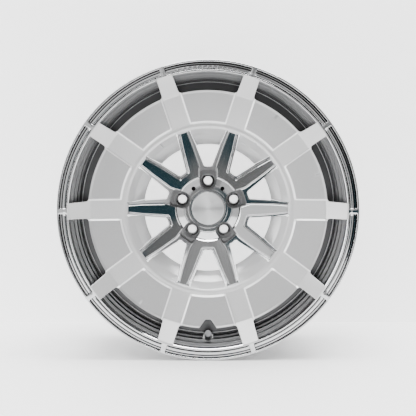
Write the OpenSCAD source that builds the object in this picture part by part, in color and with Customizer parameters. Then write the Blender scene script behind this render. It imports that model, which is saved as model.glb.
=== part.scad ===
// Forged racing wheel rim: bolted barrel, ten-spoke forged centre and a ten-arm aero disc.
// Every part is drawn about +Z, outboard face up, and stands() turns that face to -Y.

/* [Rim] */
// Specified rim diameter at the bead seats
rim_d = 512.8; // [460:0.1:620]
// Rim width between the bead flanges
rim_w = 228.6; // [200:0.1:280]
// Height of the bead flange above the bead seat
flange_h = 17.5; // [15:0.5:21]
// Thickness of the lip in front of the bead seat
lip_t = 12.7; // [10:0.1:16]
// Distance from the rim's middle plane out to the hub mounting face
wheel_offset = 35; // [20:1:45]
// Wall of the barrel
barrel_wall = 5; // [4:0.5:6]
// Depth of the well under the bead seat
well_depth = 16.4; // [15:0.1:18]

/* [Lip] */
// Radial width of the lip's front face
lip_face = 22; // [20:0.5:24]
// Depth of the lip's pockets
pocket_depth = 1.8; // [1:0.1:3]
// Depth of the two grooves along each pocket
groove_depth = 3.6; // [2.4:0.1:5]
// Plain land between two pockets
land_w = 8.9; // [6:0.1:12]

/* [Mounting flange] */
// Radius of the flange's inner edge
flange_r = 205; // [200:1:210]
// Thickness of the flange that the centre bolts to
flange_web = 12; // [9:0.5:14]
// Height of the flange's front face above the hub mounting face
flange_z = 32; // [28:0.5:36]

/* [Centre] */
// Diameter of the hub bore
hub_bore_d = 56.1; // [50:0.1:58]
// Pitch circle of the lug holes
lug_pcd = 100; // [98:0.1:114.3]
// Diameter of the lug holes
lug_d = 15.5; // [13:0.1:17]
// Radius of the lug pockets
lug_pocket_r = 15.5; // [14.5:0.1:16]
// Height of the hub's front above its mounting face
hub_h = 38; // [34:0.5:42]
// Radius of the rear mounting pad
pad_r = 70; // [66:1:74]
// Width of a spoke where it passes through the disc
spoke_w = 24; // [20:0.5:28]

/* [Aero disc] */
// Radius of the disc's inner edge
disc_in_r = 118; // [112:1:122]
// Radius of the raised panels' outer edge
panel_r = 218.5; // [214:0.5:222]
// Width of an arm at the panels' edge
arm_root_w = 31.8; // [28:0.1:36]
// Width of an arm at its tip
arm_tip_w = 29.6; // [26:0.1:34]
// Thickness of the disc's shell
disc_t = 4; // [3:0.5:5]
// Height of the panels above the arms
panel_rise = 3; // [2:0.5:4]

/* [Centre cap] */
// Diameter of the cap's face
cap_d = 60; // [54:0.5:62]
// How far the cap's face reaches past its skirt
cap_flange = 3; // [2:0.1:4]

/* [Valve] */
// Tilt of the valve from the wheel's axis towards the centre
valve_tilt = 24; // [20:1:28]
// Diameter of the valve hole
valve_hole_d = 11.5; // [11.3:0.1:12]
// Diameter of the valve cap
valve_cap_d = 13; // [11:0.1:14]

/* [Fasteners] */
// Thread diameter of the rim bolts
bolt_d = 7; // [6:0.5:8]
// Thread diameter of the disc screws
screw_d = 5; // [4:0.5:6]

/* [Fit] */
// Gap around a spoke in its slot in the disc
slot_gap = 0.8; // [0.4:0.1:1.5]
// Radial gap between the cap's skirt and its bore
cap_gap = 0.06; // [0.02:0.01:0.1]
// Radial gap around a fastener's shank
shank_gap = 0.25; // [0.1:0.05:0.5]
// Radial running gap around the valve's pin and cap thread
run_gap = 0.08; // [0.02:0.01:0.1]

/* [Hidden] */
$fn = 96;
eps = 0.01;

// Spokes and lugs share one ten-fold pattern: spokes at 36 k, lugs between the V pairs.
spokes = 10;
step = 360 / spokes;
lugs = spokes / 2;
lug_start = 90;
vee_start = lug_start + step;

// Rim
bead_r = rim_d / 2;
rim_r = bead_r + flange_h;
front_z = rim_w / 2 - wheel_offset;
rear_z = -rim_w / 2 - wheel_offset;
lip_z = front_z + lip_t;
lip_in_r = rim_r - lip_face;
seat_w = 20;
seat_drop = seat_w * tan(5);
well_r = bead_r - well_depth;
barrel_r = bead_r - 6;
well_in_r = well_r - barrel_wall;
well_front = front_z - 53.3;

// Steps of the lip's inner wall, from the lip down to the flange
step_r = [lip_in_r - 1, lip_in_r - 5.8, lip_in_r - 11, lip_in_r - 14.8];
step_z = [lip_z - 18, lip_z - 34, lip_z - 48, lip_z - 42];
flange_wall_r = lip_in_r - 16;

// Pockets of the lip
pocket_in_r = lip_in_r + 4;
pocket_out_r = rim_r - 3.5;
groove_w = 2.4;
groove_ridge = 1.4;
pocket_mid_r = (pocket_in_r + pocket_out_r) / 2;
pocket_angle = step - 2 * asin(land_w / 2 / pocket_mid_r);

// Centre
hub_bore_r = hub_bore_d / 2;
spigot_l = 15;
cap_seat_z = hub_h - 3.5;
cap_skirt_d = cap_d - 2 * cap_flange;
boss_r = lug_pcd / 2 - 6.4;
band_r = boss_r + 15.8;
spoke_end_r = flange_wall_r - 7;
pilot_gap = 0.5;
spoke_half = spoke_w / 2;
lug_floor_z = 20;
seat_ring_r = lug_pocket_r - 3;
seat_ring_h = 16;
tap_r = 3.9;

// Disc, outboard surface as radius and height pairs
crest_r = disc_in_r + 32;
slot_end_r = crest_r - 3.5;
arm_root_z = lip_z - 28;
tip_z = lip_z + 2;
tip_r = lip_in_r + 2.6;
crest_z = arm_root_z - 8.5;
dish_z = crest_z - 34.5;

// Spoke heights, under the disc's crest
pad_z = crest_z - 7.5;
spoke_z = pad_z - 2;
face_z = spoke_z - 7;
mid_z = spoke_z - 12;

panel_in_r = crest_r + 8;
panel_foot_r = panel_in_r + 8;
screw_r = 190;
notch_r = 9;
notch_z_r = panel_r - 7.5;
notch_half_w = 20.4;

// Hardware
bolt_rows = [flange_r + 6.5, flange_r + 18.5];
bolt_r = bolt_d / 2;
washer_t = 1;
bolt_head_h = 6;
insert_wall = 1;
insert_l = pad_z - flange_z - 5;
screw_shaft_r = screw_d / 2;
screw_head_z = 30;
spacer_z = pad_z;
disc_boss_r = 7;

// Valve, about its own axis with the seat on the tyre side at zero
valve_r = bead_r - 13.4;
valve_z = well_front + 10;
valve_wall = 13;
valve_boss_r = 11;
valve_seat_r = 10.5;
nut_recess_r = 9.6;
stem_r = 4.1;
thread_r = 3.85;
stem_top = 36;
core_r = 2.6;
core_z = 20;
core_top = 32;
core_chamber_r = 1.7;
chamber_z = core_z + 3;
pin_r = 0.65;
pin_collar_z = core_top - 2;
spring_wire = 0.2;
nut_h = 6;
washer_z = valve_wall;
nut_z = washer_z + 1.2;
cap_rim_z = nut_z + nut_h + 2;
cap_top = stem_top + 3.2;
seal_t = 1;

// Turns the outboard face from +Z to -Y.
module stands() {
    rotate([90, 0, 0]) children();
}

module ring_of(count, start = 0) {
    for (k = [0:count - 1])
        rotate([0, 0, start + k * 360 / count]) children();
}

// Places children on the valve's axis, at the bottom of the wheel.
module on_valve_axis() {
    translate([0, -valve_r, valve_z]) rotate([-valve_tilt, 0, 0]) children();
}

module tube(r_out, r_in, z0, z1) {
    translate([0, 0, z0]) difference() {
        cylinder(r = r_out, h = z1 - z0);
        translate([0, 0, -eps]) cylinder(r = r_in, h = z1 - z0 + 2 * eps);
    }
}

module rod(r, z0, z1) {
    translate([0, 0, z0]) cylinder(r = r, h = z1 - z0);
}

// Barrel

module barrel_outline() {
    polygon([
        [lip_in_r, lip_z - 1.6],
        [lip_in_r + 1.6, lip_z],
        [rim_r - 1.4, lip_z],
        [rim_r, lip_z - 1.4],
        [rim_r, front_z + 4],
        [rim_r - 2.2, front_z],
        [bead_r + 2.4, front_z],
        [bead_r, front_z - 2.4],
        [bead_r - seat_drop, front_z - seat_w],
        [bead_r - 0.4, front_z - seat_w - 4],
        [bead_r - seat_drop, front_z - seat_w - 8],
        [well_r, well_front],
        [well_r, well_front - 32],
        [barrel_r, well_front - 56],
        [barrel_r, rear_z + seat_w + 9],
        [bead_r - 0.4, rear_z + seat_w + 4],
        [bead_r - seat_drop, rear_z + seat_w],
        [bead_r, rear_z + 2.4],
        [bead_r + 2.4, rear_z],
        [rim_r - 2.2, rear_z],
        [rim_r, rear_z - 4],
        [rim_r, rear_z - lip_t + 1.4],
        [rim_r - 1.4, rear_z - lip_t],
        [bead_r - 1, rear_z - lip_t],
        [bead_r - 3.4, rear_z - lip_t + 2.4],
        [bead_r - 6.4, rear_z],
        [barrel_r - barrel_wall, rear_z + seat_w + 9],
        [barrel_r - barrel_wall, well_front - 58],
        [well_in_r, well_front - 33],
        [well_in_r, flange_z - flange_web],
        [flange_r, flange_z - flange_web],
        [flange_r, flange_z],
        [flange_wall_r, flange_z],
        [flange_wall_r, step_z[3]],
        [flange_wall_r + 1.2, step_z[3]],
        [flange_wall_r + 1.2, step_z[2]],
        [step_r[2], step_z[2]],
        [step_r[2], step_z[1]],
        [step_r[1], step_z[1]],
        [step_r[1], step_z[0] - 2.4],
        [step_r[1] + 1.2, step_z[0] - 2.4],
        [step_r[1] + 1.2, step_z[0]],
        [step_r[0], step_z[0]]
    ]);
}

// One pocket of the lip: a shallow floor with two deeper grooves along its outer side.
module lip_pocket() {
    groove_out = pocket_out_r;
    groove_mid = groove_out - groove_w;
    groove_in = groove_mid - groove_ridge;
    rotate([0, 0, -pocket_angle / 2]) rotate_extrude(angle = pocket_angle)
        polygon([
            [pocket_in_r, lip_z + 1],
            [pocket_in_r, lip_z - pocket_depth],
            [groove_in - groove_w, lip_z - pocket_depth],
            [groove_in - groove_w, lip_z - groove_depth],
            [groove_in, lip_z - groove_depth],
            [groove_in, lip_z - pocket_depth - 0.3],
            [groove_mid, lip_z - pocket_depth - 0.3],
            [groove_mid, lip_z - groove_depth],
            [groove_out, lip_z - groove_depth],
            [groove_out, lip_z + 1]
        ]);
}

// Plain raised bars that fill the top pocket.
module lip_bars() {
    bar_angle = 1.1;
    bar_pitch = 2;
    bar_count = 13;
    for (k = [0:bar_count - 1])
        rotate([0, 0, lug_start + (k - (bar_count - 1) / 2) * bar_pitch - bar_angle / 2])
            rotate_extrude(angle = bar_angle)
                translate([pocket_in_r + 1.6, lip_z - pocket_depth - eps])
                    square([5.2, pocket_depth - 0.6]);
}

// Two fine grooves turned in the flange's front face.
module flange_grooves() {
    for (r = [flange_r + 3, flange_wall_r - 3.4])
        tube(r + 0.7, r - 0.7, flange_z - 1.5, flange_z + 1);
}

// Holes in the flange for both rows of rim bolts.
module bolt_holes(r) {
    ring_of(spokes)
        for (row = bolt_rows)
            translate([row, 0, 0]) rod(r, flange_z - flange_web - 1, flange_z + 1);
}

module rim_barrel() {
    color("dimgray") stands() union() {
        difference() {
            union() {
                difference() {
                    rotate_extrude() barrel_outline();
                    ring_of(spokes, step / 2) lip_pocket();
                    bolt_holes(bolt_r + shank_gap);
                    flange_grooves();
                }
                on_valve_axis() rod(valve_boss_r, -2, valve_wall);
            }
            on_valve_axis() {
                rod(valve_hole_d / 2, -1, valve_wall + 1);
                rod(valve_seat_r, -30, 0);
                rod(nut_recess_r, valve_wall, valve_wall + 30);
            }
        }
        lip_bars();
    }
}

// Forged centre

// Section of the hub and spokes together, as a body of revolution.
module centre_section() {
    polygon([
        [hub_bore_r, 0],
        [pad_r - 1, 0],
        [pad_r, 1],
        [pad_r + 12, 12],
        [slot_end_r, 17],
        [flange_r - pilot_gap, 27],
        [flange_r - pilot_gap, flange_z],
        [spoke_end_r, flange_z],
        [spoke_end_r, pad_z - 2],
        [spoke_end_r - 2, pad_z],
        [screw_r, pad_z],
        [slot_end_r, spoke_z],
        [band_r + 1.4, hub_h + 2.4],
        [band_r + 0.2, hub_h + 1.2],
        [band_r - 1.8, hub_h - 3.2],
        [boss_r + 1, hub_h - 1.8],
        [boss_r + 1, hub_h - 4],
        [boss_r - 0.2, hub_h - 4],
        [boss_r - 0.2, hub_h - 0.9],
        [cap_d / 2 + 7, hub_h - 0.9],
        [cap_d / 2 + 6.4, hub_h],
        [cap_d / 2 + 1.2, hub_h],
        [cap_d / 2 + 1.2, cap_seat_z],
        [cap_skirt_d / 2 + cap_gap, cap_seat_z],
        [cap_skirt_d / 2 + cap_gap, spigot_l],
        [hub_bore_r, spigot_l]
    ]);
}

// A point at distance s along a spoke and h to its side, seen from the window between two spokes.
function window_point(s, h, side) = [
    s * cos(step / 2) + h * sin(step / 2),
    side * (s * sin(step / 2) - h * cos(step / 2))
];

// Window between two spokes, from each station's distance and the spoke's half width there.
module window_plan(stations, round_r) {
    n = len(stations);
    offset(r = round_r, $fn = 40) offset(delta = -round_r)
        polygon(concat(
            [for (p = stations) window_point(p[0], p[1], 1)],
            [for (k = [n - 1:-1:0]) window_point(stations[k][0], stations[k][1], -1)]
        ));
}

// Cuts all ten windows from the given height up to the given height.
module windows(stations, round_r, z0, z1) {
    ring_of(spokes, step / 2) translate([0, 0, z0])
        linear_extrude(z1 - z0) window_plan(stations, round_r);
}

function low_stations(grow) = [
    [pad_r + 6 - grow, spoke_half + 5.6 - grow],
    [disc_in_r + 1, spoke_half + 3 - grow],
    [slot_end_r, spoke_half - grow],
    [spoke_end_r + 30, spoke_half - grow]
];

face_stations = [
    [pad_r - 3, spoke_half - 3],
    [disc_in_r + 1, spoke_half - 4.6],
    [slot_end_r, spoke_half - 6.6],
    [spoke_end_r + 30, spoke_half - 6.6]
];

// Lug pocket that opens outwards as a U, over its stepped floor.
module lug_pocket() {
    u_end = band_r + 11;
    round_r = 5.5;
    translate([lug_pcd / 2, 0, lug_floor_z + 4]) cylinder(r = lug_pocket_r, h = 40);
    translate([lug_pcd / 2, 0, lug_floor_z]) cylinder(r = lug_pocket_r - 2, h = 40);
    translate([lug_pcd / 2, 0, lug_floor_z - seat_ring_h]) cylinder(r = seat_ring_r, h = 40);
    translate([lug_pcd / 2, 0, -1]) cylinder(d = lug_d, h = 60);
    translate([0, 0, lug_floor_z + 8]) linear_extrude(40) union() {
        translate([lug_pcd / 2, -lug_pocket_r]) square([u_end - round_r - lug_pcd / 2, 2 * lug_pocket_r]);
        translate([lug_pcd / 2, -lug_pocket_r + round_r])
            square([u_end - lug_pcd / 2, 2 * (lug_pocket_r - round_r)]);
        for (side = [-1, 1])
            translate([u_end - round_r, side * (lug_pocket_r - round_r)]) circle(r = round_r);
    }
}

module forged_centre() {
    color("gainsboro") stands() difference() {
        rotate_extrude() centre_section();
        windows(low_stations(0), 5, -1, pad_z + 20);
        windows(low_stations(2.4), 5, mid_z, pad_z + 20);
        windows(face_stations, 5, face_z, pad_z + 20);
        ring_of(lugs, lug_start) lug_pocket();
        // Weight-saving pockets in the rear pad, between the lug holes.
        ring_of(lugs, vee_start) translate([lug_pcd / 2, 0, 0]) rod(8, -1, 9);
        // Tapped holes beside the top lug.
        for (side = [-1, 1])
            rotate([0, 0, lug_start + side * step]) translate([boss_r + 1.7, 0, 0])
                rod(tap_r, hub_h - 14, hub_h + 5);
        ring_of(spokes) {
            for (row = bolt_rows)
                translate([row, 0, 0]) rod(bolt_r + insert_wall, flange_z - 1, flange_z + insert_l);
            translate([screw_r, 0, 0]) rod(screw_shaft_r + shank_gap, 0, pad_z + 1);
            translate([screw_r, 0, 0]) rod(screw_d, 0, screw_head_z);
        }
    }
}

// Aero disc

// Outboard line of the arms and dish, then the same line one shell thickness lower.
module disc_section() {
    polygon([
        [disc_in_r, dish_z],
        [disc_in_r + 19, dish_z + 20.5],
        [crest_r - 1, crest_z - 0.8],
        [crest_r + 2, crest_z + 0.6],
        [panel_in_r, crest_z + 0.6],
        [panel_r - 3.5, arm_root_z],
        [tip_r - 3.4, tip_z - 0.9],
        [tip_r - 1.4, tip_z],
        [tip_r, tip_z - 0.9],
        [tip_r, lip_z],
        [lip_in_r - 0.5, lip_z],
        [lip_in_r - 0.5, lip_z - 2.6],
        [panel_r - 1, arm_root_z - disc_t],
        [panel_in_r, crest_z - disc_t],
        [crest_r, crest_z - disc_t],
        [disc_in_r + 21, dish_z + 20.5 - disc_t],
        [disc_in_r + 1, dish_z - disc_t],
        [disc_in_r, dish_z - disc_t]
    ]);
}

module panel_section() {
    polygon([
        [panel_in_r - 1, crest_z - 2],
        [panel_in_r, crest_z + 0.6],
        [panel_foot_r, crest_z + 1.4 + panel_rise],
        [panel_r - 1, arm_root_z + panel_rise],
        [panel_r, arm_root_z + panel_rise - 1],
        [panel_r, arm_root_z - disc_t + 0.5],
        [panel_r - 3, arm_root_z - 3]
    ]);
}

module arm_plan(grow = 0) {
    polygon([
        [0, -arm_root_w / 2 - grow],
        [panel_r, -arm_root_w / 2 - grow],
        [tip_r + 2, -arm_tip_w / 2 - grow],
        [tip_r + 2, arm_tip_w / 2 + grow],
        [panel_r, arm_root_w / 2 + grow],
        [0, arm_root_w / 2 + grow]
    ]);
}

// Slot for a spoke, with a relief hole at each outer corner.
module slot_plan() {
    w_in = spoke_half + 3 + slot_gap;
    w_out = spoke_half + slot_gap;
    relief_r = 2;
    polygon([
        [disc_in_r - 8, -w_in - 0.8],
        [slot_end_r, -w_out],
        [slot_end_r, w_out],
        [disc_in_r - 8, w_in + 0.8]
    ]);
    for (side = [-1, 1])
        translate([slot_end_r - 0.5, side * (w_out - 1)]) circle(r = relief_r);
}

// Bell-shaped notch that leaves room to reach the valve.
module notch_plan() {
    translate([notch_z_r, 0]) circle(r = notch_r);
    polygon([
        [notch_z_r - 2, -notch_r + 0.3],
        [panel_r + 4, -notch_half_w - 2],
        [panel_r + 4, notch_half_w + 2],
        [notch_z_r - 2, notch_r - 0.3]
    ]);
}

// Rounds the inside corners between the panels' outer edge and the arms.
module corner_fillets() {
    fillet_r = 5.5;
    y = arm_root_w / 2 + fillet_r;
    x = sqrt(pow(panel_r + fillet_r, 2) - y * y);
    for (side = [-1, 1])
        difference() {
            polygon([
                [panel_r - 6, side * (y - fillet_r - 2)],
                [x, side * (y - fillet_r - 2)],
                [x, side * y],
                [x * 0.96, side * y * 0.96]
            ]);
            translate([x, side * y]) circle(r = fillet_r);
        }
}

module disc_bosses(r, z0, z1) {
    ring_of(spokes) translate([screw_r, 0, 0]) rod(r, z0, z1);
}

module aero_disc() {
    insert_top = crest_z + 2.5;
    color("whitesmoke") stands() difference() {
        union() {
            intersection() {
                rotate_extrude() disc_section();
                union() {
                    rod(panel_r, -20, lip_z + 20);
                    ring_of(spokes) translate([0, 0, -20]) linear_extrude(lip_z + 40) arm_plan();
                    ring_of(spokes) translate([0, 0, -20]) linear_extrude(lip_z + 40) corner_fillets();
                }
            }
            difference() {
                rotate_extrude() panel_section();
                ring_of(spokes) translate([0, 0, -20])
                    linear_extrude(lip_z + 40) arm_plan(3);
            }
            disc_bosses(disc_boss_r, spacer_z + 2, crest_z + 1);
        }
        ring_of(spokes) translate([0, 0, -20]) linear_extrude(lip_z + 40) slot_plan();
        rotate([0, 0, -90]) translate([0, 0, -20]) linear_extrude(lip_z + 40) notch_plan();
        disc_bosses(screw_shaft_r + insert_wall, 0, insert_top);
    }
}

// Fasteners

module disc_inserts() {
    insert_top = crest_z + 2.5;
    color("gold") stands() ring_of(spokes) translate([screw_r, 0, 0])
        tube(screw_shaft_r + insert_wall, screw_shaft_r, spacer_z + 2, insert_top);
}

module disc_spacers() {
    color("black") stands() ring_of(spokes) translate([screw_r, 0, 0])
        tube(disc_boss_r, screw_shaft_r + shank_gap, spacer_z, spacer_z + 2);
}

module disc_screws() {
    color("silver") stands() ring_of(spokes) translate([screw_r, 0, 0]) difference() {
        union() {
            rod(screw_shaft_r, screw_head_z - 1, crest_z + 1.5);
            rod(screw_d - 0.6, screw_head_z - screw_d, screw_head_z);
        }
        translate([0, 0, screw_head_z - screw_d - 1]) cylinder(d = screw_d * 0.9, h = 4, $fn = 6);
    }
}

module rim_bolts() {
    head_z = flange_z - flange_web - washer_t;
    color("silver") stands() ring_of(spokes)
        for (row = bolt_rows)
            translate([row, 0, 0]) difference() {
                union() {
                    rod(bolt_r, head_z - 1, flange_z + insert_l - 0.5);
                    rod(bolt_r + 1.9, head_z - bolt_head_h, head_z);
                }
                translate([0, 0, head_z - bolt_head_h - 1]) cylinder(r = bolt_r - 0.4, h = 4.5, $fn = 6);
            }
}

module rim_washers() {
    color("gray") stands() ring_of(spokes)
        for (row = bolt_rows)
            translate([row, 0, 0])
                tube(bolt_r + 2.3, bolt_r + 0.2, flange_z - flange_web - washer_t, flange_z - flange_web);
}

module pad_inserts() {
    color("darkgray") stands() ring_of(spokes)
        for (row = bolt_rows)
            translate([row, 0, 0]) tube(bolt_r + insert_wall, bolt_r, flange_z, flange_z + insert_l);
}

// Steel ring with a 60 degree cone for the lug nut.
module lug_seats() {
    cone_r = seat_ring_r - 1.2;
    cone_h = (cone_r - lug_d / 2) / tan(30);
    color("slategray") stands() ring_of(lugs, lug_start) translate([lug_pcd / 2, 0, 0])
        rotate_extrude() polygon([
            [lug_d / 2, lug_floor_z - seat_ring_h],
            [seat_ring_r, lug_floor_z - seat_ring_h],
            [seat_ring_r, lug_floor_z],
            [cone_r, lug_floor_z],
            [lug_d / 2, lug_floor_z - cone_h]
        ]);
}

// Centre cap

module cap_face() {
    color("silver") stands() rotate_extrude() polygon([
        [0, cap_seat_z + 3.5],
        [cap_d / 2, cap_seat_z + 3.5],
        [cap_d / 2, cap_seat_z + 4.6],
        [cap_d / 2 - 1, cap_seat_z + 5.6],
        [0, cap_seat_z + 5.6]
    ]);
}

module cap_body() {
    skirt_r = cap_skirt_d / 2;
    color("dimgray") stands() rotate_extrude() difference() {
        polygon([
            [0, cap_seat_z + 3.5],
            [0, cap_seat_z + 1],
            [skirt_r - 3, cap_seat_z + 1],
            [skirt_r - 3, spigot_l + 2],
            [skirt_r - 0.8, spigot_l + 2],
            [skirt_r, spigot_l + 3],
            [skirt_r, cap_seat_z],
            [cap_d / 2 - 0.2, cap_seat_z],
            [cap_d / 2 - 0.2, cap_seat_z + 3.5]
        ]);
        translate([skirt_r - 1.2, spigot_l + 5]) square([2, 2.4]);
        translate([skirt_r - 1.2, cap_seat_z - 6]) square([2, 2.4]);
    }
}

module skirt_ring(z) {
    rotate_extrude() translate([cap_skirt_d / 2 - 0.6, z]) circle(r = 0.6);
}

module cap_ring() {
    gap = 8;
    color("silver") stands() rotate([0, 0, gap / 2])
        rotate_extrude(angle = 360 - gap)
            translate([cap_skirt_d / 2 - 0.6, spigot_l + 6.2]) circle(r = 0.6);
}

module cap_o_ring() {
    color("black") stands() skirt_ring(cap_seat_z - 4.8);
}

// Valve

module valve_stem() {
    color("silver") stands() on_valve_axis() difference() {
        union() {
            rod(9, -6, -2.5);
            rod(stem_r, -2.6, nut_z + nut_h + 1);
            rod(thread_r, nut_z, stem_top);
        }
        rod(core_r, core_z, stem_top + 1);
        rod(core_chamber_r, -7, core_z + 1);
    }
}

module valve_grommet() {
    color("black") stands() on_valve_axis() difference() {
        union() {
            rod(9.4, -2.5, 0);
            rod(valve_hole_d / 2, -eps, 5);
        }
        rod(stem_r, -3, 6);
    }
}

module valve_washer() {
    color("gray") stands() on_valve_axis() tube(8.6, stem_r, washer_z, nut_z);
}

module valve_nut() {
    color("dimgray") stands() on_valve_axis() difference() {
        rotate([0, 0, 30]) translate([0, 0, nut_z]) cylinder(d = 16.2, h = nut_h, $fn = 6);
        rod(stem_r, nut_z - 1, nut_z + nut_h + 1);
    }
}

module valve_core() {
    color("gold") stands() on_valve_axis() difference() {
        rod(core_r, core_z, core_top);
        rod(core_chamber_r, chamber_z, core_top + 1);
        rod(pin_r + run_gap, core_z - 1, core_top);
    }
}

module valve_pin() {
    color("gold") stands() on_valve_axis() {
        rod(pin_r, core_z - 0.5, stem_top - 1);
        rod(core_chamber_r - run_gap, core_z - 1.6, core_z);
        rod(core_chamber_r - run_gap, pin_collar_z, pin_collar_z + 0.6);
    }
}

// Coil as rings of points along a helix, joined into one closed sweep.
module valve_spring() {
    turns = 6;
    segments = 14;
    sides = 6;
    coil_r = pin_r + run_gap + spring_wire + 0.25;
    z0 = chamber_z + spring_wire;
    z1 = pin_collar_z - spring_wire;
    count = turns * segments;
    points = [
        for (i = [0:count], j = [0:sides - 1])
            let (a = 360 * i / segments, b = 360 * j / sides, r = coil_r + spring_wire * cos(b))
                [r * cos(a), r * sin(a), z0 + (z1 - z0) * i / count + spring_wire * sin(b)]
    ];
    faces = concat(
        [[for (j = [0:sides - 1]) j]],
        [[for (j = [sides - 1:-1:0]) count * sides + j]],
        [
            for (i = [0:count - 1], j = [0:sides - 1])
                let (k = (j + 1) % sides)
                    [i * sides + j, (i + 1) * sides + j, (i + 1) * sides + k, i * sides + k]
        ]
    );
    color("silver") stands() on_valve_axis() polyhedron(points, faces);
}

module valve_cap() {
    cap_r = valve_cap_d / 2;
    color("gray") stands() on_valve_axis() rotate_extrude() polygon([
        [0, cap_top],
        [cap_r - 1, cap_top],
        [cap_r, cap_top - 1],
        [cap_r, cap_rim_z],
        [thread_r + run_gap, cap_rim_z],
        [thread_r + run_gap, stem_top + seal_t],
        [0, stem_top + seal_t]
    ]);
}

module valve_cap_seal() {
    color("black") stands() on_valve_axis() tube(thread_r, core_r, stem_top, stem_top + seal_t);
}

rim_barrel();
forged_centre();
aero_disc();
disc_inserts();
disc_screws();
disc_spacers();
rim_bolts();
rim_washers();
pad_inserts();
lug_seats();
cap_face();
cap_body();
cap_ring();
cap_o_ring();
valve_stem();
valve_grommet();
valve_washer();
valve_nut();
valve_core();
valve_pin();
valve_spring();
valve_cap();
valve_cap_seal();
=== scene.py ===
"""Forged racing wheel rim: detailed meshes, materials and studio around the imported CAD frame."""

import math

import bmesh
import bpy
import numpy as np
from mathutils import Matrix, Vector
from mathutils.geometry import delaunay_2d_cdt


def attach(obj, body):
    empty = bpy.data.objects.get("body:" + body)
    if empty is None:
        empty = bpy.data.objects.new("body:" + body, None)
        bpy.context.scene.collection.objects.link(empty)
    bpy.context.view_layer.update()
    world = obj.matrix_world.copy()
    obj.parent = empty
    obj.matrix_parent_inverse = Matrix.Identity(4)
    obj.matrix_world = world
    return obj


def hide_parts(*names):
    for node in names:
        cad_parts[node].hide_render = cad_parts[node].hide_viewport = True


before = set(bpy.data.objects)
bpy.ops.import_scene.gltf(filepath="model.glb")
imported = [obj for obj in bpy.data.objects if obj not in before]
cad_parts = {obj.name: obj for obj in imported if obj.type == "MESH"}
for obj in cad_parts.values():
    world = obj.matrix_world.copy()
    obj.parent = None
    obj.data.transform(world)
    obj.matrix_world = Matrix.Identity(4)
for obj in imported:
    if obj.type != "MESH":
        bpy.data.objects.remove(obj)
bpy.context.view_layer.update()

# ---------------------------------------------------------------- sizes
# Millimetres, about the wheel's axis: r outwards from it, z outboard from the hub mounting face.

MM = 0.001
RIM_R = 273.8
LIP_Z = 92.0
LIP_IN_R = 251.9
SEAT_R = 256.4
FRONT_Z = 79.3
REAR_Z = -149.3
REAR_LIP_Z = REAR_Z - 12.7
WELL_R = 240.0
BARREL_R = 250.4
WALL = 5.0
FLANGE_R = 205.0
FLANGE_Z = 32.0
FLANGE_WEB = 12.0
FLANGE_WALL_R = LIP_IN_R - 16.0

POCKET_IN_R = LIP_IN_R + 4.0
POCKET_OUT_R = RIM_R - 3.5
POCKET_DEPTH = 1.8
GROOVE_DEPTH = 1.8
LAND_HALF = 4.45

HUB_H = 38.0
LUG_R = 50.0
LUG_HOLE_R = 7.75
TAP_R = 3.9
LUG_POCKET_R = 15.5
LUG_FLOOR = 20.0
LUG_MOUTH_R = 71.4
LUG_MOUTH_REACH = 23.8
BOSS_R = 43.6
TAP_CIRCLE_R = 45.3
BAND_R = 59.4
PAD_R = 70.0
SPOKE_HALF = 12.0
SPOKE_END = 228.9
SLOT_END = 146.5
SCREW_R = 190.0

DISC_IN_R = 118.0
CREST_R = 150.0
CREST_Z = 55.5
DISH_Z = 21.0
ARM_ROOT_Z = 64.0
PANEL_IN_R = 158.0
PANEL_R = 218.5
PANEL_RISE = 3.0
ARM_ROOT_HALF = 15.9
ARM_TIP_HALF = 14.8
TIP_R = 254.5
DISC_T = 4.0
SLOT_GAP = 0.8

VALVE_R = 243.0
VALVE_Z = 36.0
VALVE_TILT = 24.0

ARMS = 10
LUGS = 5
SEGMENTS = 360


# ---------------------------------------------------------------- plane geometry


def cos_sin(degrees):
    return math.cos(math.radians(degrees)), math.sin(math.radians(degrees))


def on_circle(radius, degrees, centre=(0.0, 0.0)):
    c, s = cos_sin(degrees)
    return (centre[0] + radius * c, centre[1] + radius * s)


def arc(radius, start, end, steps, centre=(0.0, 0.0)):
    return [on_circle(radius, start + (end - start) * i / steps, centre) for i in range(steps + 1)]


def fillet(points, radii, steps=6):
    """The open polyline with an arc of the given radius at each inner point that has one."""
    out = [points[0]]
    for i in range(1, len(points) - 1):
        radius = radii.get(i, 0.0)
        p, a, b = (np.array(points[k], float) for k in (i, i - 1, i + 1))
        if not radius:
            out.append(tuple(p))
            continue
        u = (a - p) / np.linalg.norm(a - p)
        v = (b - p) / np.linalg.norm(b - p)
        half = math.acos(max(-1.0, min(1.0, float(u @ v)))) / 2
        reach = radius / math.tan(half)
        centre = p + (u + v) / np.linalg.norm(u + v) * radius / math.sin(half)
        start = p + u * reach - centre
        end = p + v * reach - centre
        turn = math.atan2(start[0] * end[1] - start[1] * end[0], float(start @ end))
        for k in range(steps + 1):
            c, s = math.cos(turn * k / steps), math.sin(turn * k / steps)
            out.append((centre[0] + c * start[0] - s * start[1], centre[1] + s * start[0] + c * start[1]))
    out.append(points[-1])
    return out


def dense(points, longest):
    """The polyline with its long segments divided."""
    out = [points[0]]
    for a, b in zip(points, points[1:]):
        parts = max(1, math.ceil(math.dist(a, b) / longest))
        for k in range(1, parts + 1):
            out.append((a[0] + (b[0] - a[0]) * k / parts, a[1] + (b[1] - a[1]) * k / parts))
    return out


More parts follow.
